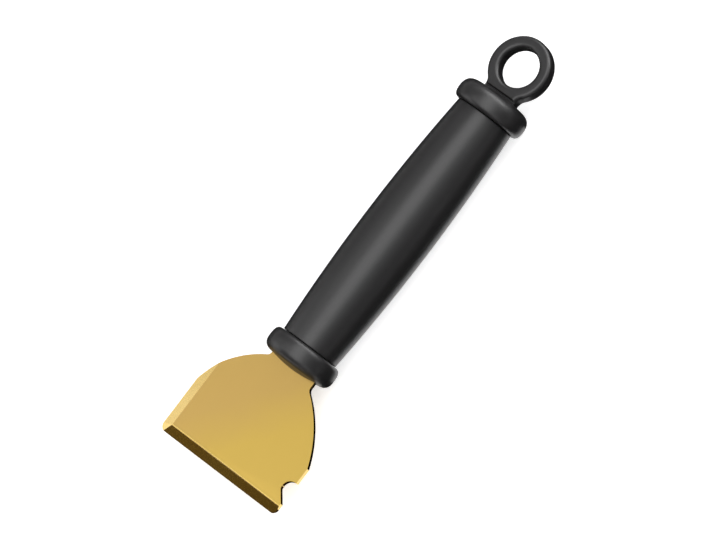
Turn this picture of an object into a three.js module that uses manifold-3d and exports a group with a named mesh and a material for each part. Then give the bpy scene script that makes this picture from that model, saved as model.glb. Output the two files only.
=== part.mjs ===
// Grill scraper: a brass blade pinned into a black moulded handle that ends in a hanging eye.
// Millimetres. +X runs from the scraping edge to the eye, +Z is the blade's bevelled face and the
// rod notch is on the -Y side. The origin lies under the middle of the tool, where its collars rest.
import * as THREE from "three";
import { mergeVertices } from "three/addons/utils/BufferGeometryUtils.js";
import Module from "manifold-3d";

const wasm = await Module();
wasm.setup();

// Blade
const BLADE_REACH = 50.3; // scraping edge to the front collar's rim
const BLADE_WIDTH = 64;
const PLATE_THICKNESS = 2;
const EDGE_BEVEL_WIDTH = 4; // ground along the scraping edge
const SIDE_BEVEL_WIDTH = 4.6; // ground along the +Y side
const BEVEL_LAND = 0.3; // thickness left at the ground edges
const CORNER_LAND = 0.1; // thickness left at the corner between the two bevels
const CORNER_RADIUS = 2.6;
const NOTCH_LIP = 5; // corner of the scraping edge to the notch
const NOTCH_RADIUS = 3.8;
const NOTCH_DEPTH = 4.4;
const NOTCH_FLANK_ANGLE = THREE.MathUtils.degToRad(41);
const NOTCH_SEAT_START = THREE.MathUtils.degToRad(110); // where the flank runs into the round seat
const SIDE_ABOVE_NOTCH = 7.1; // straight side between the notch and the shoulder
const BEVEL_SIDE_LENGTH = 24.5; // straight +Y side, from the scraping edge to the shoulder
const BEVEL_SHOULDER_RADIUS = 41;
const NOTCH_SHOULDER_RADIUS = 55;
const NECK_WIDTH = 23.2;
const BEVEL_SIDE_NECK = 1.4; // straight neck in front of the collar's rim, +Y side
const NOTCH_SIDE_NECK = 3.6; // the same, -Y side
const NECK_EASE = 1.2; // how far each shoulder is eased into the neck
const NECK_SEAT_DEPTH = 3; // how far the neck goes into the collar

// Grip and collars
const GRIP_LENGTH = 113.5;
const GRIP_END_RADIUS = 12.6;
const GRIP_SWELL = 2.05; // how much thicker the grip is at its middle
const GRIP_WALL = 3; // at the grip's ends
const COLLAR_LENGTH = 9.7;
const COLLAR_HEIGHT = 3; // how far the bead stands proud of the grip's end
const COLLAR_LIP = 0.6; // step from the grip's end up to the bead's edge
const COLLAR_CROWN = 4.1; // from the grip's end to the bead's widest ring
const COLLAR_ROUNDING = 5.6; // how far the bead's outer end draws in to its rim
const COLLAR_DOME = 1; // how far the middle of the bead's end bulges past its rim

// Hanging eye
const EYE_HOLE_RADIUS = 8.3;
const EYE_BAND = 5; // width of the ring around the hole
const EYE_FOOT = 4.4; // solid foot between the cap's dome and the hole
const EYE_THICKNESS = 6.6;
const EYE_EDGE_RADIUS = 1.2;
const EYE_STEM_WIDTH = 15.8;
const EYE_FILLET_RADIUS = 4;
const EYE_ROOT_DEPTH = 2; // how deep the stem's foot runs on into the cap

// Inside the handle
const COLLAR_SEAT_DEPTH = 3.5; // counterbore in the front collar for the core's nose
const CORE_CHEEK = 2; // core left beside the tang
const CORE_WALL = 3.3; // core around its rear bore
const CORE_WEB = 5; // solid core between the tang's slot and the rear bore
const TANG_SETBACK = 37; // end of the tang to the tip of the cap's spigot
const PIN_RADIUS = 2;
const PIN_RECESS = 0.5; // pin ends below the core's surface
const PIN_CHAMFER = 0.4;
const CAP_BOSS_LENGTH = 4; // boss on the cap that centres the grip
const SPIGOT_LENGTH = 24; // spigot on the cap, measured from its boss
const SPIGOT_CHAMFER = 1;
const SNAP_HEIGHT = 0.5; // ring on the spigot that snaps into the core
const SNAP_SETBACK = 6; // spigot tip to the snap ring
const SNAP_WIDTH = 2;

// Clearances
const FIT_CLEARANCE = 0.3; // between pieces that fit into each other
const JOINT_GAP = 0.25; // fine joint between the grip and each collar

// Facets
const TURNED_SEGMENTS = 48;
const PIN_SEGMENTS = 24;
const BEAD_DIVISIONS = 7;
const GRIP_DIVISIONS = 12;
const OUTLINE_DIVISIONS = 10;
const EYE_SEGMENTS = 48; // in a full turn of the eye
const EYE_EDGE_STEPS = 3;
const MERGE_DISTANCE = 1e-4;

// Places along the tool, from the scraping edge
const collarFront = BLADE_REACH;
const neckEnd = collarFront + NECK_SEAT_DEPTH;
const gripStart = collarFront + COLLAR_LENGTH;
const gripEnd = gripStart + GRIP_LENGTH;
const bossStart = gripEnd - CAP_BOSS_LENGTH;
const domeEnd = gripEnd + COLLAR_LENGTH + COLLAR_DOME;
const eyeRadius = EYE_HOLE_RADIUS + EYE_BAND;
const eyeCentre = domeEnd + EYE_FOOT + EYE_HOLE_RADIUS;
const toolLength = eyeCentre + eyeRadius;
const collarSeat = gripStart - COLLAR_SEAT_DEPTH;
const coreFront = collarSeat + FIT_CLEARANCE;
const coreEnd = bossStart - FIT_CLEARANCE;
const spigotTip = bossStart - SPIGOT_LENGTH;
const snapStart = spigotTip + SNAP_SETBACK;
const snapEnd = snapStart + SNAP_WIDTH;
const tangEnd = spigotTip - TANG_SETBACK;
const slotEnd = tangEnd + FIT_CLEARANCE;
const coreBoreStart = slotEnd + CORE_WEB;

// Sizes that follow from the fits
const collarRadius = GRIP_END_RADIUS + COLLAR_HEIGHT;
const sleeveBore = GRIP_END_RADIUS - GRIP_WALL;
const coreRadius = sleeveBore - FIT_CLEARANCE;
const coreBore = coreRadius - CORE_WALL;
const spigotRadius = coreBore - FIT_CLEARANCE;
const tangHalfWidth = coreRadius - CORE_CHEEK - FIT_CLEARANCE;
const pinHoleRadius = PIN_RADIUS + FIT_CLEARANCE;
const pinReach = Math.sqrt(coreRadius ** 2 - PIN_RADIUS ** 2) - PIN_RECESS;

// The two pins share the tang evenly
const pinPlaces = {
  tang_pin_front: THREE.MathUtils.lerp(coreFront, tangEnd, 1 / 3),
  tang_pin_rear: THREE.MathUtils.lerp(coreFront, tangEnd, 2 / 3),
};

/** A closed geometry as a solid that can be cut and joined. */
function toSolid(geometry) {
  const bare = geometry.clone();
  bare.deleteAttribute("normal");
  bare.deleteAttribute("uv");
  const merged = mergeVertices(bare, MERGE_DISTANCE);
  const corners = merged.index.array;
  const triangles = [];
  for (let i = 0; i < corners.length; i += 3) {
    const triangle = Array.from(corners.slice(i, i + 3));
    // Triangles that shrink to a line at the turning axis are left out.
    if (new Set(triangle).size === 3) triangles.push(...triangle);
  }
  return new wasm.Manifold(new wasm.Mesh({
    numProp: 3,
    vertProperties: new Float32Array(merged.attributes.position.array),
    triVerts: new Uint32Array(triangles),
  }));
}

/** A solid as a geometry again. */
function toGeometry(solid) {
  const mesh = solid.getMesh();
  const geometry = new THREE.BufferGeometry();
  geometry.setAttribute("position", new THREE.BufferAttribute(new Float32Array(mesh.vertProperties), 3));
  geometry.setIndex(new THREE.BufferAttribute(new Uint32Array(mesh.triVerts), 1));
  geometry.computeVertexNormals();
  return geometry;
}

/** A geometry with others cut out of it. */
function cut(geometry, ...cutters) {
  return toGeometry(cutters.reduce((rest, cutter) => rest.subtract(toSolid(cutter)), toSolid(geometry)));
}

/** Two geometries as one body. */
function join(first, second) {
  return toGeometry(toSolid(first).add(toSolid(second)));
}

/** A body turned about the X axis. The profile lists [x, radius] and runs along +X on the outside. */
function turned(profile, segments = TURNED_SEGMENTS) {
  const points = profile.map(([x, radius]) => new THREE.Vector2(radius, x));
  return new THREE.LatheGeometry(points, segments).rotateZ(-Math.PI / 2);
}

/** An outline in the XY plane given a thickness, centred on the plane. */
function plate(outline, thickness, divisions) {
  const geometry = new THREE.ExtrudeGeometry(outline, {
    depth: thickness,
    bevelEnabled: false,
    curveSegments: divisions,
  });
  return geometry.translate(0, 0, -thickness / 2);
}

/** A slot for the blade between two places, as wide and thick as the blade there plus the clearance. */
function bladeSlot(fromX, toX, halfWidth) {
  const width = 2 * (halfWidth + FIT_CLEARANCE);
  const thickness = PLATE_THICKNESS + 2 * FIT_CLEARANCE;
  return new THREE.BoxGeometry(toX - fromX, width, thickness).translate((fromX + toX) / 2, 0, 0);
}

/** Points of a quadratic curve, as [x, radius], without its first one. */
function curved(from, control, to) {
  const corners = [from, control, to].map(([x, radius]) => new THREE.Vector2(x, radius));
  const points = new THREE.QuadraticBezierCurve(...corners).getPoints(BEAD_DIVISIONS);
  return points.slice(1).map((point) => [point.x, point.y]);
}

/** Profile of a collar, from its edge at the grip's end face to the middle of its domed outer end. */
function collarProfile(gripFace, direction) {
  const at = (distance) => gripFace + direction * distance;
  const edge = [gripFace, GRIP_END_RADIUS + COLLAR_LIP];
  const crown = [at(COLLAR_CROWN), collarRadius];
  const rim = [at(COLLAR_LENGTH), collarRadius - COLLAR_ROUNDING];
  const pole = [at(COLLAR_LENGTH + COLLAR_DOME), 0];
  return [
    edge,
    ...curved(edge, [gripFace, collarRadius], crown),
    ...curved(crown, [at(COLLAR_LENGTH), collarRadius], rim),
    ...curved(rim, [pole[0], rim[1] / 2], pole),
  ];
}

/** Adds a shoulder arc to an outline drawn counter-clockwise, eased where one of its ends meets the neck. */
function addShoulder(outline, from, to, radius, neck) {
  const way = new THREE.Vector2().subVectors(to, from);
  const height = Math.sqrt(radius ** 2 - way.lengthSq() / 4);
  const inward = new THREE.Vector2(-way.y, way.x).setLength(height);
  const centre = new THREE.Vector2().addVectors(from, to).multiplyScalar(0.5).add(inward);
  const angleTo = (point) => Math.atan2(point.y - centre.y, point.x - centre.x);
  const ease = NECK_EASE / radius;
  const start = angleTo(from) + (neck === from ? ease : 0);
  const end = angleTo(to) - (neck === to ? ease : 0);
  if (neck === from) {
    const arcStart = new THREE.Vector2(Math.cos(start), Math.sin(start)).multiplyScalar(radius).add(centre);
    outline.lineTo(neck.x + NECK_EASE, neck.y);
    outline.quadraticCurveTo(neck.x, neck.y, arcStart.x, arcStart.y);
  }
  outline.absarc(centre.x, centre.y, radius, start, end, false);
  if (neck === to) outline.quadraticCurveTo(neck.x, neck.y, neck.x + NECK_EASE, neck.y);
}

/** The blade seen on its bevelled face, drawn counter-clockwise from the scraping edge. */
function bladeOutline() {
  const side = BLADE_WIDTH / 2;
  const neck = NECK_WIDTH / 2;
  const notchInset = NOTCH_DEPTH - NOTCH_RADIUS;
  const flankRun = (notchInset + NOTCH_RADIUS * Math.sin(NOTCH_SEAT_START)) / Math.tan(NOTCH_FLANK_ANGLE);
  const notchCentre = NOTCH_LIP + flankRun - NOTCH_RADIUS * Math.cos(NOTCH_SEAT_START);
  const notchEnd = notchCentre + Math.sqrt(NOTCH_RADIUS ** 2 - notchInset ** 2);
  const outline = new THREE.Shape();

  // Scraping edge with its two rounded corners
  outline.absarc(CORNER_RADIUS, side - CORNER_RADIUS, CORNER_RADIUS, Math.PI / 2, Math.PI, false);
  outline.absarc(CORNER_RADIUS, CORNER_RADIUS - side, CORNER_RADIUS, Math.PI, 1.5 * Math.PI, false);

  // Rod notch: a slanted flank that runs into a round seat
  const seatEnd = -Math.asin(notchInset / NOTCH_RADIUS);
  outline.lineTo(NOTCH_LIP, -side);
  outline.absarc(notchCentre, notchInset - side, NOTCH_RADIUS, NOTCH_SEAT_START, seatEnd, true);

  // Shoulder, neck and tang
  const notchNeck = new THREE.Vector2(collarFront - NOTCH_SIDE_NECK, -neck);
  const bevelNeck = new THREE.Vector2(collarFront - BEVEL_SIDE_NECK, neck);
  const notchShoulder = new THREE.Vector2(notchEnd + SIDE_ABOVE_NOTCH, -side);
  const bevelShoulder = new THREE.Vector2(BEVEL_SIDE_LENGTH, side);
  addShoulder(outline, notchShoulder, notchNeck, NOTCH_SHOULDER_RADIUS, notchNeck);
  outline.lineTo(neckEnd, -neck);
  outline.lineTo(neckEnd, -tangHalfWidth);
  outline.lineTo(tangEnd, -tangHalfWidth);
  outline.lineTo(tangEnd, tangHalfWidth);
  outline.lineTo(neckEnd, tangHalfWidth);
  outline.lineTo(neckEnd, neck);
  addShoulder(outline, bevelNeck, bevelShoulder, BEVEL_SHOULDER_RADIUS, bevelNeck);

  for (const place of Object.values(pinPlaces)) {
    outline.holes.push(new THREE.Path().absarc(place, 0, pinHoleRadius, 0, 2 * Math.PI, true));
  }
  return outline;
}

/** What a grinder takes off along an edge, as a prism along Y: the edge is at x = 0. */
function bevelWedge(width, length, land = BEVEL_LAND) {
  const top = PLATE_THICKNESS / 2;
  const slope = (PLATE_THICKNESS - land) / width;
  const wedge = new THREE.Shape([
    new THREE.Vector2(width, top),
    new THREE.Vector2(width, top + PLATE_THICKNESS),
    new THREE.Vector2(-width, top + PLATE_THICKNESS),
    new THREE.Vector2(-width, top - 2 * width * slope),
  ]);
  return plate(wedge, length, OUTLINE_DIVISIONS).rotateX(Math.PI / 2);
}

/** Brass plate with its ground bevels and its pinned tang. */
function scraperBlade() {
  const side = BLADE_WIDTH / 2;
  const edgeWedge = bevelWedge(EDGE_BEVEL_WIDTH, 2 * BLADE_WIDTH);
  const sideWedge = bevelWedge(SIDE_BEVEL_WIDTH, 2 * collarFront).rotateZ(-Math.PI / 2).translate(0, side, 0);

  // Where the bevels meet, a facet falls from their inner corner to the middle of the rounded corner
  const rounding = CORNER_RADIUS * (1 - Math.SQRT1_2);
  const corner = new THREE.Vector2(rounding, side - rounding);
  const inward = new THREE.Vector2(EDGE_BEVEL_WIDTH, side - SIDE_BEVEL_WIDTH).sub(corner);
  const facet = bevelWedge(inward.length(), 4 * inward.length(), CORNER_LAND);
  facet.rotateZ(inward.angle()).translate(corner.x, corner.y, 0);
  return cut(plate(bladeOutline(), PLATE_THICKNESS, OUTLINE_DIVISIONS), edgeWedge, sideWedge, facet);
}

/** Bead at the blade end, slotted for the neck and the tang, with a seat for the core's nose. */
function frontCollar() {
  const bead = turned([
    ...collarProfile(gripStart, -1).reverse(),
    [gripStart, sleeveBore],
    [collarSeat, sleeveBore],
    [collarSeat, 0],
  ]);
  const slotStart = collarFront - COLLAR_DOME - FIT_CLEARANCE;
  const neckSlot = bladeSlot(slotStart, neckEnd + FIT_CLEARANCE, NECK_WIDTH / 2);
  const tangSlot = bladeSlot(neckEnd, collarSeat + FIT_CLEARANCE, tangHalfWidth);
  return cut(bead, neckSlot, tangSlot);
}

/** Barrel grip: an arc from end to end outside, a straight bore inside. */
function gripSleeve() {
  const middle = (gripStart + gripEnd) / 2;
  const half = GRIP_LENGTH / 2 - JOINT_GAP;
  const arcRadius = (half ** 2 + GRIP_SWELL ** 2) / (2 * GRIP_SWELL);
  const profile = [[middle - half, sleeveBore]];
  for (let i = 0; i <= GRIP_DIVISIONS; i += 1) {
    const offset = half * ((2 * i) / GRIP_DIVISIONS - 1);
    const drop = arcRadius - Math.sqrt(arcRadius ** 2 - offset ** 2);
    profile.push([middle + offset, GRIP_END_RADIUS + GRIP_SWELL - drop]);
  }
  profile.push([middle + half, sleeveBore], [middle - half, sleeveBore]);
  return cut(turned(profile));
}

/** Rod inside the grip: slotted and cross-bored for the tang, and bored at the rear for the cap. */
function handleCore() {
  const groove = coreBore + SNAP_HEIGHT;
  const rod = turned([
    [coreFront, 0],
    [coreFront, coreRadius],
    [coreEnd, coreRadius],
    [coreEnd, coreBore],
    [snapEnd + FIT_CLEARANCE, coreBore],
    [snapEnd + FIT_CLEARANCE, groove],
    [snapStart - FIT_CLEARANCE, groove],
    [snapStart - FIT_CLEARANCE, coreBore],
    [coreBoreStart, coreBore],
    [coreBoreStart, 0],
  ]);
  const tangSlot = bladeSlot(coreFront - FIT_CLEARANCE, slotEnd, tangHalfWidth);
  const pinHoles = Object.values(pinPlaces).map((place) => {
    const drill = new THREE.CylinderGeometry(pinHoleRadius, pinHoleRadius, 2 * GRIP_END_RADIUS, PIN_SEGMENTS);
    return drill.rotateX(Math.PI / 2).translate(place, 0, 0);
  });
  return cut(rod, tangSlot, ...pinHoles);
}

/** Steel cross pin with chamfered ends, along Z through the tang. */
function tangPin(place) {
  const pin = turned([
    [-pinReach, 0],
    [-pinReach, PIN_RADIUS - PIN_CHAMFER],
    [PIN_CHAMFER - pinReach, PIN_RADIUS],
    [pinReach - PIN_CHAMFER, PIN_RADIUS],
    [pinReach, PIN_RADIUS - PIN_CHAMFER],
    [pinReach, 0],
  ], PIN_SEGMENTS);
  return cut(pin.rotateY(-Math.PI / 2).translate(place, 0, 0));
}

/** Points along an arc about a centre, ends included. */
function arcPoints(x, y, radius, from, to) {
  const divisions = 2 * Math.ceil((EYE_SEGMENTS * Math.abs(to - from)) / (4 * Math.PI));
  return new THREE.EllipseCurve(x, y, radius, radius, from, to, to < from).getPoints(divisions);
}

/** The hanging eye's outline and hole, drawn in by an inset. The stem's fillets run on into the cap. */
function eyeRings(inset) {
  const filletY = EYE_STEM_WIDTH / 2 + EYE_FILLET_RADIUS;
  const filletBack = Math.sqrt((eyeRadius + EYE_FILLET_RADIUS) ** 2 - filletY ** 2);
  const filletX = eyeCentre - filletBack;
  const filletRadius = EYE_FILLET_RADIUS + inset;
  const lean = Math.atan2(filletY, filletBack);
  const flare = 0.75 * Math.PI;
  const rootX = filletX - EYE_FILLET_RADIUS - EYE_ROOT_DEPTH;
  const rootY = filletY - filletRadius * Math.sin(flare);
  const outline = [
    new THREE.Vector2(rootX, -rootY),
    ...arcPoints(filletX, -filletY, filletRadius, flare, lean),
    ...arcPoints(eyeCentre, 0, eyeRadius - inset, lean - Math.PI, Math.PI - lean).slice(1, -1),
    ...arcPoints(filletX, filletY, filletRadius, -lean, -flare),
    new THREE.Vector2(rootX, rootY),
  ];
  return [outline, arcPoints(eyeCentre, 0, EYE_HOLE_RADIUS + inset, 2 * Math.PI, 0).slice(1)];
}

/** Plate of the hanging eye with rounded edges, built up from its outlines level by level. */
function eyePlate() {
  const levels = [];
  for (let i = 0; i <= EYE_EDGE_STEPS; i += 1) {
    const turn = ((i / EYE_EDGE_STEPS) * Math.PI) / 2;
    const rise = EYE_EDGE_RADIUS * (1 - Math.cos(turn));
    levels.push([EYE_EDGE_RADIUS * (1 - Math.sin(turn)), rise - EYE_THICKNESS / 2]);
  }
  levels.push(...levels.map(([inset, z]) => [inset, -z]).reverse());
  const positions = levels.flatMap(([inset, z]) => eyeRings(inset).flat().flatMap(({ x, y }) => [x, y, z]));

  const [outline, hole] = eyeRings(EYE_EDGE_RADIUS);
  const count = outline.length + hole.length;
  const top = count * (levels.length - 1);
  const faces = THREE.ShapeUtils.triangulateShape(outline, [hole]);
  const corners = faces.flatMap(([a, b, c]) => [c, b, a, top + a, top + b, top + c]);
  for (let base = 0; base < top; base += count) {
    for (const [first, size] of [[base, outline.length], [base + outline.length, hole.length]]) {
      for (let i = 0; i < size; i += 1) {
        const here = first + i;
        const next = first + ((i + 1) % size);
        corners.push(here, next, next + count, here, next + count, here + count);
      }
    }
  }
  const geometry = new THREE.BufferGeometry();
  geometry.setAttribute("position", new THREE.Float32BufferAttribute(positions, 3));
  return geometry.setIndex(corners);
}

/** Bead at the far end with the hanging eye on it, and the spigot that snaps into the core. */
function eyeCap() {
  const cap = turned([
    [spigotTip, 0],
    [spigotTip, spigotRadius - SPIGOT_CHAMFER],
    [spigotTip + SPIGOT_CHAMFER, spigotRadius],
    [snapStart, spigotRadius],
    [(snapStart + snapEnd) / 2, spigotRadius + SNAP_HEIGHT],
    [snapEnd, spigotRadius],
    [bossStart, spigotRadius],
    [bossStart, coreRadius],
    [gripEnd, coreRadius],
    ...collarProfile(gripEnd, 1),
  ]);
  return join(cap, eyePlate());
}

/** A named piece with a finish of its own. */
function piece(name, geometry, color, roughness, metalness) {
  const mesh = new THREE.Mesh(geometry, new THREE.MeshStandardMaterial({ color, roughness, metalness }));
  mesh.name = name;
  return mesh;
}

const handle = new THREE.Group();
handle.add(
  piece("front_collar", frontCollar(), 0x242324, 0.45, 0),
  piece("grip_sleeve", gripSleeve(), 0x262526, 0.5, 0),
  piece("eye_cap", eyeCap(), 0x242324, 0.45, 0),
  piece("handle_core", handleCore(), 0x3a3a3c, 0.6, 0),
);

const blade = new THREE.Group();
blade.add(piece("scraper_blade", scraperBlade(), 0xd7b55b, 0.3, 1));
for (const [name, place] of Object.entries(pinPlaces)) {
  blade.add(piece(name, tangPin(place), 0xb4b6b8, 0.35, 1));
}

const tool = new THREE.Group();
tool.add(handle, blade);
tool.position.set(-toolLength / 2, 0, collarRadius);

export default tool;
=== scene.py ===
"""Grill scraper: brass blade, black moulded handle with a hanging eye, on a plain white studio floor.

The meshes are made in millimetres, with x measured from the scraping edge towards the eye and z from the
handle's axis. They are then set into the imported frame, which is in metres.
"""
import logging
import math
from dataclasses import dataclass
from enum import Enum
from typing import Any, Callable, Iterable, Optional, Sequence

import bmesh
import bpy
from mathutils import Matrix, Vector


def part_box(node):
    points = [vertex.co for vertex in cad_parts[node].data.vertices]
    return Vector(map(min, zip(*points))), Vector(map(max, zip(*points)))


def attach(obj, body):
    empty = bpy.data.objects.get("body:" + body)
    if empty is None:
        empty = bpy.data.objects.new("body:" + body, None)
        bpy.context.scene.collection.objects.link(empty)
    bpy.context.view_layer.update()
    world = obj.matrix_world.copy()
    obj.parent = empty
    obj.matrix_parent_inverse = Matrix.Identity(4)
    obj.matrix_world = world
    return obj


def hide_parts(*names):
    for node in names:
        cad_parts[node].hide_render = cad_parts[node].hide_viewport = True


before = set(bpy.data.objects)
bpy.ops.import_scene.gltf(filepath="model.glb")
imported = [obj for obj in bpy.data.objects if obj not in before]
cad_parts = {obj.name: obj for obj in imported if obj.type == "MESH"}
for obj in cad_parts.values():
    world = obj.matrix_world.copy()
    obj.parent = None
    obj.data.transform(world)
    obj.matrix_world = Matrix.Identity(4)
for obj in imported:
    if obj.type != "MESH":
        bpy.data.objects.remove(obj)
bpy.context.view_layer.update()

MM = 0.001
ROOT_BODY = "root"

Point = tuple[float, float]
Triple = tuple[float, float, float]
Colour = tuple[float, float, float, float]

log = logging.getLogger("grill_scraper")


class Boolean(Enum):
    """How one closed body acts on another."""

    CUT = "DIFFERENCE"
    JOIN = "UNION"


class Grain(Enum):
    """Which way the marks of a metal's working run, as (x, y, z) stretches."""

    ALONG_TOOL = (1.0, 40.0, 40.0)
    ACROSS_TOOL = (40.0, 1.0, 40.0)
    THROUGH_PLATE = (40.0, 40.0, 1.0)


# Colour and nodes

# Places of a Mix node's colour sockets, whose names its other sockets share
MIX_FIRST = 6
MIX_SECOND = 7
MIX_RESULT = 2

# How broken up each noise is, and the span that most of its values lie in
MARK_NOISE = {"Detail": 3.0, "Roughness": 0.6}
TARNISH_NOISE = {"Detail": 4.0, "Roughness": 0.55}
GRAIN_NOISE = {"Detail": 2.0, "Roughness": 0.5}
FLOW_NOISE = {"Detail": 3.0, "Roughness": 0.5}
NOISE_SPAN = {"From Min": 0.3, "From Max": 0.7}


def linear(code: str) -> Colour:
    """Turns an sRGB hex colour into a linear one.

    Args:
        code: Six hex digits with a leading hash.

    Returns:
        Linear red, green and blue with full alpha.
    """
    channels = (int(code[i:i + 2], 16) / 255 for i in (1, 3, 5))
    red, green, blue = (c / 12.92 if c <= 0.04045 else ((c + 0.055) / 1.055) ** 2.4 for c in channels)
    return (red, green, blue, 1.0)


def add_node(
    tree: bpy.types.NodeTree,
    kind: str,
    inputs: Optional[dict[Any, Any]] = None,
    links: Optional[dict[Any, bpy.types.NodeSocket]] = None,
    **settings: Any,
) -> bpy.types.Node:
    """Adds one node with its settings and links.

    Args:
        tree: The node tree that takes the node.
        kind: Blender's name for the node's type.
        inputs: Values of input sockets, by name or place.
        links: Output sockets to link from, by the name or place of the input.
        settings: Properties of the node itself.

    Returns:
        The new node.
    """
    node = tree.nodes.new(kind)
    for name, value in settings.items():
        setattr(node, name, value)
    for name, value in (inputs or {}).items():
        node.inputs[name].default_value = value
    for name, socket in (links or {}).items():
        tree.links.new(socket, node.inputs[name])
    return node


# Finishes


@dataclass(frozen=True)
class Finish:
    """A surface finish: what the material is, its colour and how it was worked."""

    name: str
    colour: str
    roughness: float

    def material(self) -> bpy.types.Material:
        """Makes the material once and gives the same one from then on.

        Returns:
            The material.
        """
        made = bpy.data.materials.get(self.name)
        if made:
            return made
        made = bpy.data.materials.new(self.name)
        made.use_nodes = True
        made.node_tree.nodes.clear()
        shader = self.shade(made.node_tree)
        add_node(made.node_tree, "ShaderNodeOutputMaterial", links={"Surface": shader.outputs[0]})
        return made

    def shade(self, tree: bpy.types.NodeTree) -> bpy.types.Node:
        """Adds the finish's nodes and returns its shader."""
        raise NotImplementedError


@dataclass(frozen=True)
class WorkedMetal(Finish):
    """A metal with the fine parallel marks that rolling, grinding or shearing leave.

    Its second colour, a tarnish and painted shade, follows a sum of two values: the way along a given
    direction in metres, which paints shade that darkens the metal towards one side, and a noise times
    tarnish_patch, which gives a random tarnish. It sets in at the start of its range and is full at its end.
    """

    tarnish_and_shade: str
    tarnish_size_mm: float = 22.0
    painted_shade_way: Triple = (0.0, 0.0, 0.0)
    tarnish_and_shade_range: Point = (0.35, 0.75)
    tarnish_patch: float = 1.0
    grain: Grain = Grain.ALONG_TOOL
    mark_width_mm: float = 0.5
    mark_depth_mm: float = 0.004
    mark_relief: float = 0.25
    roughness_spread: float = 0.06
    glancing: str = "#ffffff"

    def shade(self, tree: bpy.types.NodeTree) -> bpy.types.Node:
        """Metal whose roughness and height follow its marks, and whose colour follows a faint tarnish and
        any painted shade.

        Args:
            tree: The material's node tree.

        Returns:
            The metal's shader.
        """
        place = add_node(tree, "ShaderNodeTexCoord")
        stretch = add_node(
            tree, "ShaderNodeMapping", inputs={"Scale": self.grain.value},
            links={"Vector": place.outputs["Object"]},
        )
        longest = max(self.grain.value)
        marks = add_node(
            tree, "ShaderNodeTexNoise", links={"Vector": stretch.outputs[0]},
            inputs={"Scale": 1 / (longest * self.mark_width_mm * MM), **MARK_NOISE},
        )
        clouds = add_node(
            tree, "ShaderNodeTexNoise", links={"Vector": place.outputs["Object"]},
            inputs={"Scale": 1 / (self.tarnish_size_mm * MM), **TARNISH_NOISE},
        )
        # Painted shade: the colour ramps along one way through the part, darker towards one side, where the
        # light falls off
        painted_shade_ramp = add_node(
            tree, "ShaderNodeVectorMath", operation="DOT_PRODUCT", inputs={1: self.painted_shade_way},
            links={0: place.outputs["Object"]},
        )
        patches_and_shade = add_node(
            tree, "ShaderNodeMath", operation="MULTIPLY_ADD", inputs={1: self.tarnish_patch},
            links={0: clouds.outputs["Fac"], 2: painted_shade_ramp.outputs["Value"]},
        )
        start, end = self.tarnish_and_shade_range
        share = add_node(
            tree, "ShaderNodeMapRange", links={"Value": patches_and_shade.outputs[0]},
            inputs={"From Min": start, "From Max": end, "To Min": 0.0, "To Max": 1.0},
        )
        colour = add_node(
            tree, "ShaderNodeMix", data_type="RGBA", links={"Factor": share.outputs[0]},
            inputs={MIX_FIRST: linear(self.colour), MIX_SECOND: linear(self.tarnish_and_shade)},
        )
        low, high = self.roughness - self.roughness_spread, self.roughness + self.roughness_spread
        rough = add_node(
            tree, "ShaderNodeMapRange", links={"Value": marks.outputs["Fac"]},
            inputs={**NOISE_SPAN, "To Min": low, "To Max": high},
        )
        relief = add_node(
            tree, "ShaderNodeBump", links={"Height": marks.outputs["Fac"]},
            inputs={"Strength": self.mark_relief, "Distance": self.mark_depth_mm * MM},
        )
        return add_node(
            tree, "ShaderNodeBsdfPrincipled",
            inputs={"Metallic": 1.0, "Specular Tint": linear(self.glancing)},
            links={
                "Base Color": colour.outputs[MIX_RESULT],
                "Roughness": rough.outputs[0],
                "Normal": relief.outputs[0],
            },
        )


@dataclass(frozen=True)
class MouldedPlastic(Finish):
    """Satin plastic from a spark-eroded mould: a very fine even grain with slight flow shading."""

    flow: str
    flow_mm: float = 18.0
    grain_mm: float = 0.45
    grain_depth_mm: float = 0.012
    grain_relief: float = 0.2
    roughness_spread: float = 0.04
    ior: float = 1.53

    def shade(self, tree: bpy.types.NodeTree) -> bpy.types.Node:
        """Plastic whose grain carries its roughness and height, with a broad change of tone.

        Args:
            tree: The material's node tree.

        Returns:
            The plastic's shader.
        """
        place = add_node(tree, "ShaderNodeTexCoord")
        grain = add_node(
            tree, "ShaderNodeTexNoise", links={"Vector": place.outputs["Object"]},
            inputs={"Scale": 1 / (self.grain_mm * MM), **GRAIN_NOISE},
        )
        flow = add_node(
            tree, "ShaderNodeTexNoise", links={"Vector": place.outputs["Object"]},
            inputs={"Scale": 1 / (self.flow_mm * MM), **FLOW_NOISE},
        )
        colour = add_node(
            tree, "ShaderNodeMix", data_type="RGBA", links={"Factor": flow.outputs["Fac"]},
            inputs={MIX_FIRST: linear(self.colour), MIX_SECOND: linear(self.flow)},
        )
        low, high = self.roughness - self.roughness_spread, self.roughness + self.roughness_spread
        rough = add_node(
            tree, "ShaderNodeMapRange", links={"Value": grain.outputs["Fac"]},
            inputs={**NOISE_SPAN, "To Min": low, "To Max": high},
        )
        relief = add_node(
            tree, "ShaderNodeBump", links={"Height": grain.outputs["Fac"]},
            inputs={"Strength": self.grain_relief, "Distance": self.grain_depth_mm * MM},
        )
        return add_node(
            tree, "ShaderNodeBsdfPrincipled", inputs={"IOR": self.ior},
            links={
                "Base Color": colour.outputs[MIX_RESULT],
                "Roughness": rough.outputs[0],
                "Normal": relief.outputs[0],
            },
        )


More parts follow.
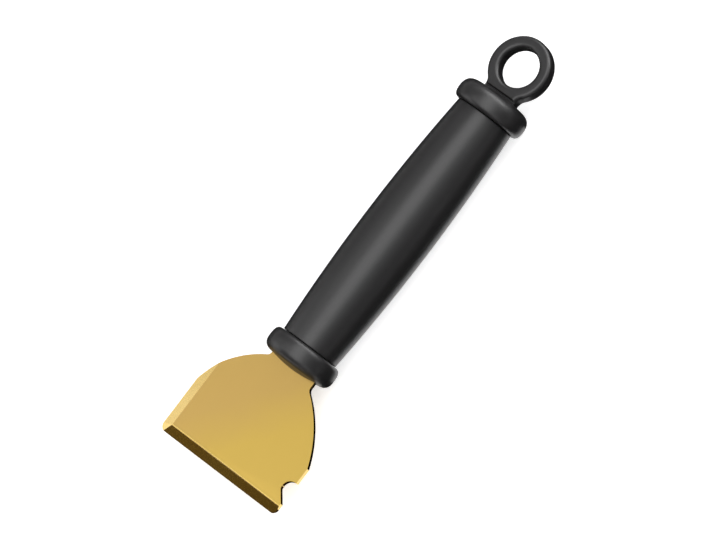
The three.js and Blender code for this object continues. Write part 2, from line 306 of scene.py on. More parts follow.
@dataclass(frozen=True)
class StudioPaper(Finish):
    """White background paper. It shows white to the eye and in reflections, and keeps soft shadows."""

    lift: float = 0.6

    def shade(self, tree: bpy.types.NodeTree) -> bpy.types.Node:
        """Matt white that is lifted for rays from the camera, mirrors and glass only.

        Args:
            tree: The material's node tree.

        Returns:
            The paper's shader.
        """
        ray = add_node(tree, "ShaderNodeLightPath")
        seen = add_node(
            tree, "ShaderNodeMath", operation="ADD",
            links={0: ray.outputs["Is Camera Ray"], 1: ray.outputs["Is Glossy Ray"]},
        )
        shown = add_node(
            tree, "ShaderNodeMath", operation="ADD", use_clamp=True,
            links={0: seen.outputs[0], 1: ray.outputs["Is Transmission Ray"]},
        )
        glow = add_node(
            tree, "ShaderNodeMath", operation="MULTIPLY", inputs={1: self.lift}, links={0: shown.outputs[0]},
        )
        lifted = add_node(tree, "ShaderNodeEmission", links={"Strength": glow.outputs[0]})
        matt = add_node(
            tree, "ShaderNodeBsdfDiffuse",
            inputs={"Color": linear(self.colour), "Roughness": self.roughness},
        )
        return add_node(tree, "ShaderNodeAddShader", links={0: matt.outputs[0], 1: lifted.outputs[0]})


@dataclass(frozen=True)
class BlackFelt(Finish):
    """Black felt on a card that keeps light out of a reflection."""

    def shade(self, tree: bpy.types.NodeTree) -> bpy.types.Node:
        """Matt black."""
        look = {"Color": linear(self.colour), "Roughness": self.roughness}
        return add_node(tree, "ShaderNodeBsdfDiffuse", inputs=look)


# Cold-rolled brass sheet: warm yellow with faint rolling marks along the tool and a soft satin mirror. Its
# colour is painted a little paler and duller towards the handle and the bevelled side, as painted shade
# where the light falls off across the face, broken up a little by a random tarnish.
ROLLED_BRASS = WorkedMetal(
    "rolled_brass_sheet", "#d6b55c", 0.3, tarnish_and_shade="#ceab63", mark_width_mm=0.4, mark_depth_mm=0.0006,
    roughness_spread=0.025, painted_shade_way=(0.625, 0.78, 0.0), tarnish_and_shade_range=(-0.054, -0.034),
    tarnish_patch=0.012,
)
# Belt-ground brass: a crisp mirror with marks that run square to the edge it sharpens. It comes as a shaded
# and a lit
# copy: the scraping bevel is painted darker and browner as painted shade, and the side bevel paler as
# painted light.
SHADED_GROUND_BRASS_EDGE = WorkedMetal(
    "ground_brass_scraping_bevel_painted_shade", "#c4983f", 0.2, tarnish_and_shade="#b88a36", mark_width_mm=0.5,
    mark_depth_mm=0.0015, roughness_spread=0.03,
)
LIT_GROUND_BRASS_SIDE = WorkedMetal(
    "ground_brass_side_bevel_painted_light", "#e9cc86", 0.24, tarnish_and_shade="#e2c278", grain=Grain.ACROSS_TOOL,
    mark_width_mm=0.5, mark_depth_mm=0.0015, roughness_spread=0.03,
)
# Sheared brass: torn and dull through the plate's thickness. Its colour is painted a near-black brown, and
# its gloss at glancing angles too, as painted shade for the dark that the cut walls mirror.
SHADED_BRASS_WALL = WorkedMetal(
    "brass_wall_painted_shade", "#4a3413", 0.38, tarnish_and_shade="#382709", grain=Grain.THROUGH_PLATE,
    mark_depth_mm=0.005, glancing="#5c431a",
)
# Brass on the rounded edges and the narrow facet behind the scraping bevel, painted paler and brighter: a
# painted highlight along them.
HIGHLIT_BRASS_EDGE = WorkedMetal(
    "brass_edge_painted_highlight", "#f9d784", 0.22, tarnish_and_shade="#f4cf78", mark_depth_mm=0.001,
)
# Moulded phenolic: neutral black with a soft gloss on a fine spark-eroded grain. The real grain is about
# 0.1 mm, too fine to show, so it is drawn coarser.
BLACK_PLASTIC = MouldedPlastic("moulded_black_phenolic", "#161516", 0.4, flow="#1b1a1b", ior=1.68)
# Glass-filled nylon of the core: dark grey and duller, as it leaves the mould.
CORE_PLASTIC = MouldedPlastic("moulded_grey_nylon", "#3a3a3c", 0.55, flow="#404042", grain_mm=0.8)
# Turned steel of the pins: bright grey with fine marks around them.
TURNED_STEEL = WorkedMetal(
    "turned_steel", "#b4b6b8", 0.32, tarnish_and_shade="#a5a7aa", grain=Grain.THROUGH_PLATE, mark_width_mm=0.3,
)
# Matt paper: an even white that the tool's shadow only tints.
PAPER = StudioPaper("white_studio_paper", "#ededed", 0.6)
# Wool felt: a dull near-black.
FELT = BlackFelt("black_felt", "#262626", 0.9)


class BladeFinish(Enum):
    """How the blade's faces were worked, in the order of its material slots. The bevels, walls and edges
    carry painted light, shade and highlight.
    """

    FACE = ROLLED_BRASS
    SCRAPING_BEVEL = SHADED_GROUND_BRASS_EDGE
    SIDE_BEVEL = LIT_GROUND_BRASS_SIDE
    WALL = SHADED_BRASS_WALL
    HIGHLIT_EDGE = HIGHLIT_BRASS_EDGE

    @property
    def slot(self) -> int:
        """Place of the finish among the blade's material slots."""
        return list(BladeFinish).index(self)


# Mesh tools


def arc(centre: Point, radius: float, start: float, end: float, step: float = 3.0) -> list[Point]:
    """Points along an arc, both ends included.

    Args:
        centre: The arc's centre.
        radius: Its radius.
        start: Angle of its first point, in degrees.
        end: Angle of its last point, in degrees.
        step: Largest angle between two points, in degrees.

    Returns:
        The points in order.
    """
    count = max(2, math.ceil(abs(end - start) / step))
    turns = [math.radians(start + (end - start) * i / count) for i in range(count + 1)]
    return [(centre[0] + radius * math.cos(t), centre[1] + radius * math.sin(t)) for t in turns]


def bulge(start: Point, end: Point, radius: float) -> list[Point]:
    """Points along an arc that bulges to the right of the way from start to end.

    Args:
        start: First point.
        end: Last point.
        radius: The arc's radius.

    Returns:
        The points in order, both ends included.
    """
    way = Vector(end) - Vector(start)
    height = math.sqrt(radius ** 2 - way.length_squared / 4)
    centre = (Vector(start) + Vector(end)) / 2 + way.orthogonal().normalized() * height
    first, last = (math.degrees(math.atan2(p[1] - centre.y, p[0] - centre.x)) for p in (start, end))
    if last < first:
        last += 360
    return arc(tuple(centre), radius, first, last, step=1.0)


def curve(start: Point, control: Point, end: Point, count: int = 24) -> list[Point]:
    """Points of a quadratic curve without its first one.

    Args:
        start: Where the curve starts.
        control: The corner it bends towards.
        end: Where it ends.
        count: How many points it has.

    Returns:
        The points in order.
    """
    points = []
    for i in range(1, count + 1):
        t = i / count
        weights = ((1 - t) ** 2, 2 * t * (1 - t), t ** 2)
        points.append(tuple(sum(w * p[k] for w, p in zip(weights, (start, control, end))) for k in (0, 1)))
    return points


def turned(profile: Sequence[Point], tube: bool = False, segments: int = 160) -> bmesh.types.BMesh:
    """Turns a profile about the x axis.

    Args:
        profile: Points of (x, radius). A radius of 0 is a pole.
        tube: Whether the last point runs on to the first one.
        segments: Facets in a full turn.

    Returns:
        The closed body.
    """
    body = bmesh.new()
    turns = [2 * math.pi * k / segments for k in range(segments)]
    rings = []
    for x, radius in profile:
        around = turns if radius > 0 else [0.0]
        rings.append([body.verts.new((x, radius * math.cos(t), radius * math.sin(t))) for t in around])
    for here, there in zip(rings, rings[1:] + (rings[:1] if tube else [])):
        for k in range(segments):
            corners = [here[k % len(here)], here[(k + 1) % len(here)]]
            corners += [there[(k + 1) % len(there)], there[k % len(there)]]
            body.faces.new(dict.fromkeys(corners))
    bmesh.ops.recalc_face_normals(body, faces=body.faces)
    return body


def stacked(levels: Sequence[tuple[float, Sequence[Sequence[Point]]]]) -> bmesh.types.BMesh:
    """Builds a plate up from outlines at rising heights.

    Args:
        levels: Height and loops of each level. All levels have the same loops with the same point counts.

    Returns:
        The closed body.
    """
    body = bmesh.new()
    rows = [[[body.verts.new((x, y, z)) for x, y in loop] for loop in loops] for z, loops in levels]
    for lower, upper in zip(rows, rows[1:]):
        for low, high in zip(lower, upper):
            for k in range(len(low)):
                n = (k + 1) % len(low)
                body.faces.new((low[k], low[n], high[n], high[k]))
    for row in (rows[0], rows[-1]):
        edges = [body.edges.get((loop[k - 1], loop[k])) for loop in row for k in range(len(loop))]
        bmesh.ops.triangle_fill(body, use_beauty=True, edges=edges)
    bmesh.ops.recalc_face_normals(body, faces=body.faces)
    return body


def block(low: Triple, high: Triple) -> bmesh.types.BMesh:
    """A cutter between two corners, for slots."""
    outline = [(low[0], low[1]), (high[0], low[1]), (high[0], high[1]), (low[0], high[1])]
    return stacked([(low[2], [outline]), (high[2], [outline])])


def sheet(outline: Iterable[Point], height: float = 0.0) -> bmesh.types.BMesh:
    """A flat face, for the floor and the card.

    Args:
        outline: Its corners in order.
        height: How high it lies.

    Returns:
        The open sheet.
    """
    body = bmesh.new()
    body.faces.new([body.verts.new((x, y, height)) for x, y in outline])
    return body


def facing(way: Vector, place: Vector) -> Matrix:
    """A matrix at a place whose z axis points one way, with its x axis as near to the tool as it can be."""
    across = (Vector((1, 0, 0)) - way * way.x).normalized()
    return Matrix.Translation(place) @ Matrix((across, way.cross(across), way)).transposed().to_4x4()


def to_object(name: str, body: bmesh.types.BMesh) -> bpy.types.Object:
    """Turns a mesh body into an object in the scene.

    Args:
        name: The object's name.
        body: The body, which is used up.

    Returns:
        The object.
    """
    mesh = bpy.data.meshes.new(name)
    body.to_mesh(mesh)
    body.free()
    made = bpy.data.objects.new(name, mesh)
    bpy.context.scene.collection.objects.link(made)
    return made


def settle(piece: bpy.types.Object) -> None:
    """Makes the result of a piece's modifiers its mesh.

    Args:
        piece: The piece, whose modifiers go.
    """
    graph = bpy.context.evaluated_depsgraph_get()
    mesh = bpy.data.meshes.new_from_object(piece.evaluated_get(graph))
    piece.modifiers.clear()
    old = piece.data
    piece.data = mesh
    bpy.data.meshes.remove(old)


def combine(piece: bpy.types.Object, others: Iterable[bmesh.types.BMesh], way: Boolean) -> None:
    """Cuts bodies out of a piece, or joins them to it.

    Args:
        piece: The piece that changes.
        others: The bodies that act on it.
        way: Whether they are cut out or joined.
    """
    tools = [to_object("tool", body) for body in others]
    for tool in tools:
        step = piece.modifiers.new("combine", "BOOLEAN")
        step.operation = way.value
        step.solver = "EXACT"
        step.object = tool
    settle(piece)
    for tool in tools:
        bpy.data.meshes.remove(tool.data)


def smooth(piece: bpy.types.Object, crease: float) -> None:
    """Shades a piece smooth, apart from edges sharper than an angle in degrees."""
    piece.data.shade_smooth()
    piece.data.set_sharp_from_angle(angle=math.radians(crease))


def dress(piece: bpy.types.Object, *finishes: Finish) -> None:
    """Gives a piece its finishes.

    Args:
        piece: The piece.
        finishes: Its finishes, in the order of its material slots.
    """
    piece.data.materials.clear()
    for finish in finishes:
        piece.data.materials.append(finish.material())


def dress_hidden(node: str, finish: Finish) -> None:
    """Gives a finish to a CAD node that lies inside the handle and keeps its CAD shape.

    Args:
        node: The node's name.
        finish: Its finish.
    """
    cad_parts[node].material_slots[0].material = finish.material()
    log.info("%s keeps its CAD shape in %s", node, finish.name)


def seat(piece: bpy.types.Object, node: str) -> None:
    """Sets a piece made in millimetres into the frame, in the place of its CAD node.

    Args:
        piece: The finished piece.
        node: The CAD node that it stands for.
    """
    edge_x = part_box("scraper_blade")[0].x
    low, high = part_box("grip_sleeve")
    piece.data.transform(Matrix.Translation((edge_x, 0, (low.z + high.z) / 2)) @ Matrix.Scale(MM, 4))
    piece.data.update()
    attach(piece, ROOT_BODY)
    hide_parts(node)
    log.info("%s stands for %s, %d faces", piece.name, node, len(piece.data.polygons))


# Sub-assemblies


@dataclass
class BladeAssembly:
    """Brass blade with its tang, and the steel pins that hold it in the core. Millimetres and degrees.

    A land is the thickness that grinding leaves at an edge. A tilt is how far from flat a face may lie and
    still count as one, and a share is the least part of a face's normal that points to one side or end.
    """

    reach: float = 50.3
    width: float = 64.0
    thickness: float = 2.0
    edge_bevel: float = 4.0
    side_bevel: float = 4.6
    bevel_land: float = 0.3
    corner_land: float = 0.1
    # A narrow facet behind the scraping bevel, which gets the painted highlight
    highlight_facet_width: float = 0.25
    highlight_facet_land: float = 1.15
    corner_radius: float = 2.6
    notch_lip: float = 5.0
    notch_radius: float = 3.8
    notch_depth: float = 4.4
    notch_flank_angle: float = 41.0
    notch_seat_start: float = 110.0
    side_above_notch: float = 7.1
    bevel_side_length: float = 24.5
    bevel_shoulder_radius: float = 41.0
    notch_shoulder_radius: float = 55.0
    neck_width: float = 23.2
    bevel_side_neck: float = 1.4
    notch_side_neck: float = 3.6
    neck_ease: float = 1.2
    neck_ease_points: int = 8
    neck_end: float = 53.3
    tang_half_width: float = 7.0
    tang_end: float = 108.5
    pin_clearance: float = 0.3
    pin_hole_step: float = 6.0
    wheel_length: float = 130.0
    corner_wheel_length: float = 20.0
    edge_rounding: float = 0.25
    edge_rounding_steps: int = 3
    edge_rounding_from: float = 12.0
    face_tilt: float = 6.0
    highlight_tilt: float = 16.0
    bevel_tilt: float = 60.0
    side_share: float = 0.1
    end_share: float = 0.02
    pins: tuple[str, str] = ("tang_pin_front", "tang_pin_rear")

    def outline(self) -> list[Point]:
        """The blade seen on its bevelled face, counter-clockwise from its bevelled corner.

        Returns:
            The outline's points.
        """
        side = self.width / 2
        neck = self.neck_width / 2
        corner = self.corner_radius
        inset = self.notch_depth - self.notch_radius
        start = math.radians(self.notch_seat_start)
        rise = inset + self.notch_radius * math.sin(start)
        run = rise / math.tan(math.radians(self.notch_flank_angle))
        centre = self.notch_lip + run - self.notch_radius * math.cos(start)
        notch_end = centre + math.sqrt(self.notch_radius ** 2 - inset ** 2)
        seat_end = -math.degrees(math.asin(inset / self.notch_radius))
        points = arc((corner, side - corner), corner, 90, 180)
        points += arc((corner, corner - side), corner, 180, 270)
        points += [(self.notch_lip, -side)]
        points += arc((centre, inset - side), self.notch_radius, self.notch_seat_start, seat_end)
        root = (self.reach - self.notch_side_neck, -neck)
        shoulder = bulge((notch_end + self.side_above_notch, -side), root, self.notch_shoulder_radius)
        points += self.eased(shoulder, root)
        tang = self.tang_half_width
        points += [(self.neck_end, -neck), (self.neck_end, -tang), (self.tang_end, -tang)]
        points += [(self.tang_end, tang), (self.neck_end, tang), (self.neck_end, neck)]
        root = (self.reach - self.bevel_side_neck, neck)
        shoulder = bulge(root, (self.bevel_side_length, side), self.bevel_shoulder_radius)
        points += self.eased(shoulder[::-1], root)[::-1]
        return points

    def eased(self, shoulder: list[Point], root: Point) -> list[Point]:
        """A shoulder's arc, eased into the neck.

        Args:
            shoulder: The arc, which ends at the neck.
            root: The corner between the arc and the neck.

        Returns:
            The arc and the curve that runs on from it along the neck.
        """
        kept = [point for point in shoulder if math.dist(point, root) > self.neck_ease]
        return kept + curve(kept[-1], root, (root[0] + self.neck_ease, root[1]), self.neck_ease_points)

    def wedge(self, edge: Point, inward: Vector, land: float, length: float) -> bmesh.types.BMesh:
        """What grinding takes off along an edge.

        Args:
            edge: A point on the edge.
            inward: From the edge to where the bevel meets the face.
            land: Thickness left at the edge.
            length: Length of the cutter along the edge.

        Returns:
            The cutter.
        """
        top = self.thickness / 2
        width = inward.length
        slope = (self.thickness - land) / width
        corners = [(width, top), (width, 3 * top), (-width, 3 * top), (-width, top - 2 * width * slope)]
        cutter = stacked([(-length / 2, [corners]), (length / 2, [corners])])
        turn = Matrix.Rotation(math.atan2(inward.y, inward.x), 4, "Z") @ Matrix.Rotation(math.pi / 2, 4, "X")
        cutter.transform(Matrix.Translation((*edge, 0)) @ turn)
        return cutter

    def pin_hole(self, pin: str) -> bmesh.types.BMesh:
        """A drill through the tang where the frame has a pin.

        Args:
            pin: The pin's node.

        Returns:
            The cutter.
        """
        low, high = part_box(pin)
        edge_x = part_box("scraper_blade")[0].x
        centre = ((low.x + high.x) / 2 - edge_x) / MM
        radius = (high.y - low.y) / 2 / MM + self.pin_clearance
        circle = arc((centre, 0), radius, 0, 360, step=self.pin_hole_step)[:-1]
        return stacked([(-self.thickness, [circle]), (self.thickness, [circle])])

    def build(self) -> bpy.types.Object:
        """Cuts the blade from its plate, grinds its bevels and drills its tang.

        Returns:
            The blade in millimetres.
        """
        half = self.thickness / 2
        outline = self.outline()
        blade = to_object("brass_blade", stacked([(-half, [outline]), (half, [outline])]))
        side = self.width / 2
        # The middle of the rounded corner, at 45 degrees
        rounding = self.corner_radius * (1 - math.sqrt(0.5))
        corner = (rounding, side - rounding)
        to_corner = Vector((self.edge_bevel, side - self.side_bevel)) - Vector(corner)
        to_face = Vector((self.edge_bevel, 0))
        to_highlight_facet = Vector((self.edge_bevel + self.highlight_facet_width, 0))
        to_side_face = Vector((0, -self.side_bevel))
        cutters = [
            self.wedge((0, 0), to_face, self.bevel_land, self.wheel_length),
            # The facet that carries the painted highlight
            self.wedge((0, 0), to_highlight_facet, self.highlight_facet_land, self.wheel_length),
            self.wedge((0, side), to_side_face, self.bevel_land, self.wheel_length),
            self.wedge(corner, to_corner, self.corner_land, self.corner_wheel_length),
            *(self.pin_hole(pin) for pin in self.pins),
        ]
        combine(blade, cutters, Boolean.CUT)
        return blade

    def finish_of(self, normal: Vector) -> BladeFinish:
        """How a face of the blade was worked, and the painted light and shade that it gets, from the way
        that it faces.

        Args:
            normal: The face's normal.

        Returns:
            Its finish.
        """
        flat, highlit_facet, bevel = (
            math.cos(math.radians(tilt)) for tilt in (self.face_tilt, self.highlight_tilt, self.bevel_tilt)
        )
        if abs(normal.z) > flat:
            return BladeFinish.FACE
        # Faces tilted a little, the facet and the edge roundings, get the painted highlight
        if normal.z > highlit_facet:
            return BladeFinish.HIGHLIT_EDGE
        # Bevels facing the bevelled side get painted light, and the scraping bevel painted shade
        if normal.z > bevel:
            return BladeFinish.SIDE_BEVEL if normal.y > self.side_share else BladeFinish.SCRAPING_BEVEL
        # Walls turned at all towards an end get painted shade, and straight side walls the paler
        # painted-light copy
        return BladeFinish.WALL if abs(normal.x) > self.end_share else BladeFinish.SIDE_BEVEL

    def dress(self, blade: bpy.types.Object) -> None:
        """Gives the blade its brass finishes, face by face, and the pins their steel.

        Args:
            blade: The blade, before its edges are broken.
        """
        dress(blade, *(finish.value for finish in BladeFinish))
        for face in blade.data.polygons:
            face.use_smooth = True
            face.material_index = self.finish_of(face.normal).slot
        for pin in self.pins:
            dress_hidden(pin, TURNED_STEEL)

    def break_edges(self, blade: bpy.types.Object) -> None:
        """Rounds the blade's edges a little, as tumbling leaves them, and paints the roundings with the
        painted highlight brass.

        Args:
            blade: The blade in its finishes.
        """
        step = blade.modifiers.new("broken_edges", "BEVEL")
        step.width = self.edge_rounding
        step.segments = self.edge_rounding_steps
        step.limit_method = "ANGLE"
        step.angle_limit = math.radians(self.edge_rounding_from)
        step.harden_normals = True
        step.material = BladeFinish.HIGHLIT_EDGE.slot
        settle(blade)

    def place(self) -> None:
        """Builds, dresses and seats the blade."""
        blade = self.build()
        self.dress(blade)
        self.break_edges(blade)
        seat(blade, "scraper_blade")


@dataclass
class HandleAssembly:
    """Black handle: slotted bead, barrel grip, and end bead with its hanging eye. Millimetres and degrees.

    A bead's rounding is its length along the tool and its height. A slot is where it ends, its half width
    and its half height. The boss and the spigot are where they start and their radius. The snap rib is where
    it starts and ends, and its height.
    """

    collar_front: float = 50.3
    collar_length: float = 9.7
    collar_height: float = 3.0
    collar_lip: float = 0.6
    collar_crown: float = 4.1
    collar_dome: float = 1.0
    front_bead_rounding: Point = (4.4, 5.3)
    eye_bead_rounding: Point = (5.6, 5.6)
    seat_depth: float = 3.5
    neck_slot: Triple = (53.6, 11.9, 1.3)
    tang_slot: Triple = (57.0, 7.3, 1.3)
    grip_length: float = 113.5
    grip_end_radius: float = 12.6
    grip_swell: float = 2.05
    grip_edge: float = 0.35
    grip_edge_points: int = 5
    grip_rings: int = 64
    grip_segments: int = 192
    joint_gap: float = 0.25
    bore: float = 9.6
    boss: Point = (169.5, 9.3)
    spigot: Point = (145.5, 5.7)
    spigot_chamfer: float = 1.0
    snap: Triple = (151.5, 153.5, 0.5)
    eye_hole_radius: float = 8.3
    eye_band: float = 5.0
    eye_foot: float = 4.4
    eye_thickness: float = 6.6
    eye_edge_radius: float = 1.7
    eye_edge_step: float = 15.0
    eye_stem_width: float = 15.8
    eye_fillet_radius: float = 4.0
    eye_root_depth: float = 2.0
    eye_flare: float = 135.0
    eye_step_gap: float = 0.5
    eye_step_depth: float = 1.3
    eye_step_radius: float = 0.7
    crease: float = 40.0
    eye_crease: float = 35.0

    @property
    def grip_start(self) -> float:
        """Where the grip starts, from the scraping edge."""
        return self.collar_front + self.collar_length

    @property
    def grip_end(self) -> float:
        """Where the grip ends, from the scraping edge."""
        return self.grip_start + self.grip_length

    @property
    def dome_end(self) -> float:
        """Where the end bead's dome ends, from the scraping edge."""
        return self.grip_end + self.collar_length + self.collar_dome

    @property
    def eye_centre(self) -> float:
        """Middle of the hanging eye, from the scraping edge."""
        return self.dome_end + self.eye_foot + self.eye_hole_radius

    def bead(self, face: float, way: int, rounding: Point) -> list[Point]:
        """Profile of a bead, from its edge at the grip's end to the middle of its domed outer end.

        Args:
            face: Where the grip's end is.
            way: 1 for the bead at the eye, -1 for the bead at the blade.
            rounding: Length and height of the rounding at its outer end.

        Returns:
            Points of (x, radius).
        """
        outer = self.grip_end_radius + self.collar_height
        edge = (face, self.grip_end_radius + self.collar_lip)
        crown = (face + way * self.collar_crown, outer)
        rim = (face + way * self.collar_length, outer - rounding[1])
        shoulder = (rim[0] - way * rounding[0], outer)
        pole = (face + way * (self.collar_length + self.collar_dome), 0.0)
        return [
            edge,
            *curve(edge, (face, outer), crown),
            *curve(shoulder, (rim[0], outer), rim),
            *curve(rim, (pole[0], rim[1] / 2), pole),
        ]

    def build_front_bead(self) -> bpy.types.Object:
        """The bead at the blade, with its slot and the seat for the core.

        Returns:
            The bead in millimetres.
        """
        seat_x = self.grip_start - self.seat_depth
        profile = self.bead(self.grip_start, -1, self.front_bead_rounding)[::-1]
        profile += [(self.grip_start, self.bore), (seat_x, self.bore), (seat_x, 0.0)]
        bead = to_object("front_bead", turned(profile))
        start = self.collar_front - 2 * self.collar_dome
        slots = []
        for end, half_width, half_height in (self.neck_slot, self.tang_slot):
            slots.append(block((start, -half_width, -half_height), (end, half_width, half_height)))
        combine(bead, slots, Boolean.CUT)
        smooth(bead, self.crease)
        return bead

    def build_grip(self) -> bpy.types.Object:
        """The barrel grip with its bore and softly broken ends.

        Returns:
            The grip in millimetres.
        """
        middle = (self.grip_start + self.grip_end) / 2
        half = self.grip_length / 2 - self.joint_gap
        radius = (half ** 2 + self.grip_swell ** 2) / (2 * self.grip_swell)
        top = self.grip_end_radius + self.grip_swell

        def outside(offset: float) -> float:
            """Radius of the grip at a distance from its middle."""
            return top - radius + math.sqrt(radius ** 2 - offset ** 2)

        inner = half - self.grip_edge
        barrel = [inner * (2 * i / self.grip_rings - 1) for i in range(self.grip_rings + 1)]
        start = (middle - half, outside(half) - self.grip_edge)
        start_corner = (middle - half, outside(half))
        end = (middle + half, outside(half) - self.grip_edge)
        end_corner = (middle + half, outside(half))
        profile = [(middle - half, self.bore), start]
        profile += curve(start, start_corner, (middle - inner, outside(inner)), self.grip_edge_points)[:-1]
        profile += [(middle + x, outside(x)) for x in barrel]
        profile += curve(profile[-1], end_corner, end, self.grip_edge_points)
        profile += [(middle + half, self.bore)]
        grip = to_object("barrel_grip", turned(profile, tube=True, segments=self.grip_segments))
        smooth(grip, self.crease)
        return grip

    def eye_loops(self, inset: float) -> list[list[Point]]:
        """The eye's outline and its hole, drawn in by an inset.

        Args:
            inset: How far the material's edge is drawn in.

        Returns:
            The outline and the hole.
        """
        outer = self.eye_hole_radius + self.eye_band
        fillet_y = self.eye_stem_width / 2 + self.eye_fillet_radius
        back = math.sqrt((outer + self.eye_fillet_radius) ** 2 - fillet_y ** 2)
        fillet_x = self.eye_centre - back
        fillet = self.eye_fillet_radius + inset
        lean = math.degrees(math.atan2(fillet_y, back))
        root_x = fillet_x - self.eye_fillet_radius - self.eye_root_depth
        root_y = fillet_y - fillet * math.sin(math.radians(self.eye_flare))
        ring = arc((self.eye_centre, 0), outer - inset, lean - 180, 180 - lean)
        outline = [
            (root_x, -root_y),
            *arc((fillet_x, -fillet_y), fillet, self.eye_flare, lean),
            *ring[1:-1],
            *arc((fillet_x, fillet_y), fillet, -lean, -self.eye_flare),
            (root_x, root_y),
        ]
        return [outline, arc((self.eye_centre, 0), self.eye_hole_radius + inset, 360, 0)[:-1]]

    def eye_step(self, way: int) -> bmesh.types.BMesh:
        """What thins the eye's root, so that its face ends in a rounded edge just behind the bead.

        Args:
            way: 1 for the front face, -1 for the back face.

        Returns:
            The cutter.
        """
        half = self.eye_thickness / 2
        radius = self.eye_step_radius
        start = self.grip_end
        base = self.dome_end + self.eye_step_gap
        profile = [(start, half - self.eye_step_depth), (base, half - self.eye_step_depth)]
        profile += arc((base + radius, half - radius), radius, 180, 90, step=self.eye_edge_step)
        profile += [(base + radius, 2 * half), (start, 2 * half)]
        outline = [(x, way * z) for x, z in profile]
        cutter = stacked([(-self.eye_stem_width, [outline]), (self.eye_stem_width, [outline])])
        cutter.transform(Matrix.Rotation(math.pi / 2, 4, "X"))
        return cutter

    def eye_plate(self) -> bmesh.types.BMesh:
        """The hanging eye with rounded edges, rooted inside the end bead.

        Returns:
            The eye, still apart from the bead.
        """
        radius = self.eye_edge_radius
        rounding = arc((radius, radius), radius, 270, 180, step=self.eye_edge_step)
        levels = [(rise - self.eye_thickness / 2, self.eye_loops(inset)) for inset, rise in rounding]
        levels += [(-z, loops) for z, loops in reversed(levels)]
        plate = to_object("eye_plate", stacked(levels))
        combine(plate, [self.eye_step(1), self.eye_step(-1)], Boolean.CUT)
        body = bmesh.new()
        body.from_mesh(plate.data)
        bpy.data.meshes.remove(plate.data)
        return body

    def build_eye_cap(self) -> bpy.types.Object:
        """The end bead, its eye and its spigot, run together as one moulding.

        Returns:
            The cap in millimetres.
        """
        boss_x, boss_radius = self.boss
        tip, spigot = self.spigot
        snap_start, snap_end, snap_height = self.snap
        profile = [
            (tip, 0.0),
            (tip, spigot - self.spigot_chamfer),
            (tip + self.spigot_chamfer, spigot),
            (snap_start, spigot),
            ((snap_start + snap_end) / 2, spigot + snap_height),
            (snap_end, spigot),
            (boss_x, spigot),
            (boss_x, boss_radius),
            (self.grip_end, boss_radius),
            *self.bead(self.grip_end, 1, self.eye_bead_rounding),
        ]
        cap = to_object("eye_cap_moulding", turned(profile))
        combine(cap, [self.eye_plate()], Boolean.JOIN)
        smooth(cap, self.eye_crease)
        flats = cap.modifiers.new("flat_faces", "WEIGHTED_NORMAL")
        flats.keep_sharp = True
        settle(cap)
        return cap

    def place(self) -> None:
        """Builds, dresses and seats the handle's pieces, and dresses the core inside."""
        pieces: tuple[tuple[Callable[[], bpy.types.Object], str], ...] = (
            (self.build_front_bead, "front_collar"),
            (self.build_grip, "grip_sleeve"),
            (self.build_eye_cap, "eye_cap"),
        )
        for build, node in pieces:
            piece = build()
            dress(piece, BLACK_PLASTIC)
            seat(piece, node)
        dress_hidden("handle_core", CORE_PLASTIC)


# Studio


@dataclass(frozen=True)
class Softbox:
    """A rectangular studio light that faces the tool.

    Its lean is round the tool's axis and its way along the tool is from the tool's middle, both in degrees
    from straight above. Its distance, width and length are in metres.
    """

    name: str
    lean: float
    along: float
    distance: float
    width: float
    length: float
    radiance: float

    def place(self, target: Vector) -> None:
        """Hangs the light.

        Args:
            target: The point that it faces.
        """
        lean = math.radians(self.lean)
        along = math.radians(self.along)
        way = Vector((math.sin(along), math.sin(lean) * math.cos(along), math.cos(lean) * math.cos(along)))
        light = bpy.data.lights.new(self.name, "AREA")
        light.shape = "RECTANGLE"
        light.size = self.length
        light.size_y = self.width
        # An even flat lamp gives out pi times its radiance from each square metre
        light.energy = math.pi * self.radiance * self.length * self.width
        lamp = bpy.data.objects.new(self.name, light)
        lamp.matrix_world = facing(way, target + way * self.distance)
        lamp.visible_camera = False
        bpy.context.scene.collection.objects.link(lamp)
        log.info("%s hung", self.name)


@dataclass(frozen=True)
class DarkCard:
    """A felt card that lies round the handle and darkens the sides of its gloss. Metres."""

    name: str
    outline: tuple[Point, ...]
    height: float = 0.0005

    def place(self) -> None:
        """Lays the card in its place. Only reflections see it."""
        card = to_object(self.name, sheet(self.outline, self.height))
        card.visible_camera = False
        card.visible_shadow = False
        card.visible_diffuse = False
        dress(card, FELT)
        log.info("%s laid", self.name)


# Broad light from above, then the gloss at the eye's end, then what each side of the brass mirrors
SOFTBOXES = (
    Softbox("overhead_softbox", lean=-10.0, along=0.0, distance=0.8, width=0.62, length=1.5, radiance=1.98),
    Softbox("eye_end_softbox", lean=-16.0, along=62.0, distance=0.9, width=0.9, length=0.36, radiance=4.8),
    Softbox("face_panel", lean=30.0, along=-12.4, distance=1.03, width=0.44, length=0.6, radiance=1.06),
    Softbox("side_panel", lean=54.0, along=0.0, distance=1.0, width=0.45, length=1.2, radiance=0.22),
    Softbox("low_panel", lean=66.0, along=-27.5, distance=0.347, width=0.14, length=0.24, radiance=1.1),
    Softbox("back_panel", lean=-47.0, along=0.0, distance=1.0, width=0.35, length=1.8, radiance=0.25),
    Softbox("far_corner_panel", lean=48.0, along=40.0, distance=1.0, width=0.5, length=0.6, radiance=0.6),
    Softbox("near_corner_panel", lean=-57.0, along=40.0, distance=1.0, width=0.5, length=0.6, radiance=0.6),
    Softbox("far_blade_panel", lean=60.0, along=-40.0, distance=1.0, width=0.36, length=0.5, radiance=0.35),
    Softbox("near_blade_panel", lean=-57.0, along=-40.0, distance=1.0, width=0.5, length=0.6, radiance=0.6),
)
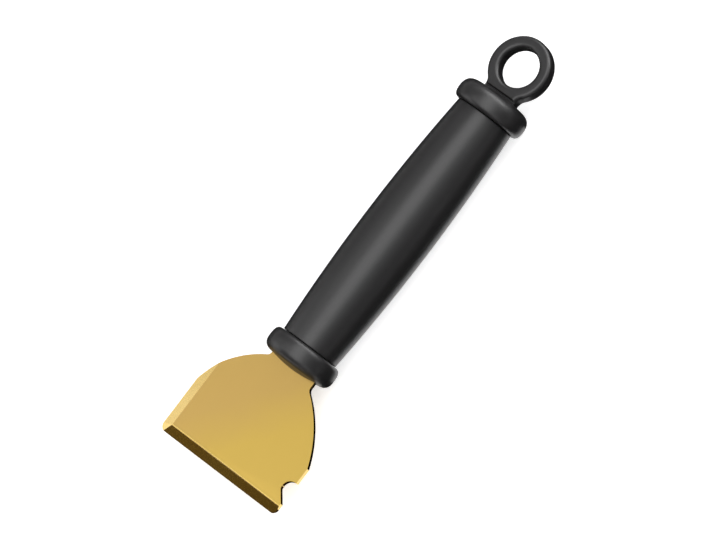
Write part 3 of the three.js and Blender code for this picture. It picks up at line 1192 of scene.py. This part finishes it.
# Open under the grip, whose lowest rim mirrors the white paper, and beside the blade's bevelled side
HANDLE_CARD = DarkCard("handle_card", (
    (-0.5, -0.35), (0.3, -0.35), (0.3, 0.24), (-0.15, 0.24), (-0.15, 0.05), (-0.075, 0.022),
    (0.076, 0.022), (0.076, -0.0205), (-0.05, -0.0205), (-0.05, -0.002), (-0.08, -0.026),
    (-0.08, -0.06), (-0.5, -0.09),
))


@dataclass
class Studio:
    """White paper, soft lights, a dark card and the camera at the photograph's angle.

    The camera leans round the tool's axis and tilts along it. The tool's angle is that of its axis in the
    image.
    """

    image_size: tuple[int, int] = (716, 540)
    pixels_per_mm: float = 2.562
    tool_middle_px: Point = (379.12, 256.31)
    tool_angle: float = 52.744
    camera_lean: float = 28.25
    camera_tilt: float = -2.0
    camera_distance_mm: float = 2500.0
    sensor_mm: float = 36.0
    view_depth_m: float = 100.0
    floor_size_m: float = 30.0
    world_grey: float = 0.12

    def build(self) -> None:
        """Sets the stage."""
        middle = Vector((0, 0, sum(corner.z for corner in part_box("grip_sleeve")) / 2))
        self.lay_floor()
        self.light(middle)
        self.aim_camera(middle)
        bpy.context.scene.view_settings.view_transform = "Standard"

    def lay_floor(self) -> None:
        """Lays the white paper under the tool."""
        half = self.floor_size_m / 2
        outline = ((-half, -half), (half, -half), (half, half), (-half, half))
        floor = to_object("studio_floor", sheet(outline))
        dress(floor, PAPER)
        log.info("floor laid")

    def light(self, middle: Vector) -> None:
        """Hangs the softboxes, lays the dark card and sets the even light around them.

        Args:
            middle: The point that the lights face.
        """
        world = bpy.data.worlds.new("even_room_light")
        bpy.context.scene.world = world
        world.use_nodes = True
        shade = world.node_tree.nodes["Background"]
        shade.inputs["Color"].default_value = (1, 1, 1, 1)
        shade.inputs["Strength"].default_value = self.world_grey
        for softbox in SOFTBOXES:
            softbox.place(middle)
        HANDLE_CARD.place()

    def aim_camera(self, middle: Vector) -> None:
        """Puts the camera where the photograph was taken from.

        Args:
            middle: The middle of the tool, whose place in the image is known.
        """
        lean = math.radians(self.camera_lean)
        tilt = math.radians(self.camera_tilt)
        turn = math.radians(self.tool_angle)
        back = Vector((math.sin(tilt), -math.sin(lean) * math.cos(tilt), math.cos(lean) * math.cos(tilt)))
        along = Vector((1, 0, 0)) - back * back.x
        along.normalize()
        across = along.cross(back)
        right = math.cos(turn) * along + math.sin(turn) * across
        up = math.sin(turn) * along - math.cos(turn) * across
        width, height = self.image_size
        off_right = (self.tool_middle_px[0] - width / 2) / self.pixels_per_mm * MM
        off_up = (height / 2 - self.tool_middle_px[1]) / self.pixels_per_mm * MM
        data = bpy.data.cameras.new("photo_camera")
        data.sensor_width = self.sensor_mm
        data.lens = self.pixels_per_mm * self.camera_distance_mm * self.sensor_mm / width
        data.clip_end = self.view_depth_m
        camera = bpy.data.objects.new("photo_camera", data)
        place = middle + back * self.camera_distance_mm * MM - right * off_right - up * off_up
        camera.matrix_world = Matrix.Translation(place) @ Matrix((right, up, back)).transposed().to_4x4()
        bpy.context.scene.collection.objects.link(camera)
        bpy.context.scene.camera = camera
        log.info("camera aimed")


def main() -> None:
    """Builds the studio, the blade and the handle in order."""
    logging.basicConfig(level=logging.INFO, format="%(message)s")
    Studio().build()
    BladeAssembly().place()
    HandleAssembly().place()


if __name__ == "__main__":
    main()
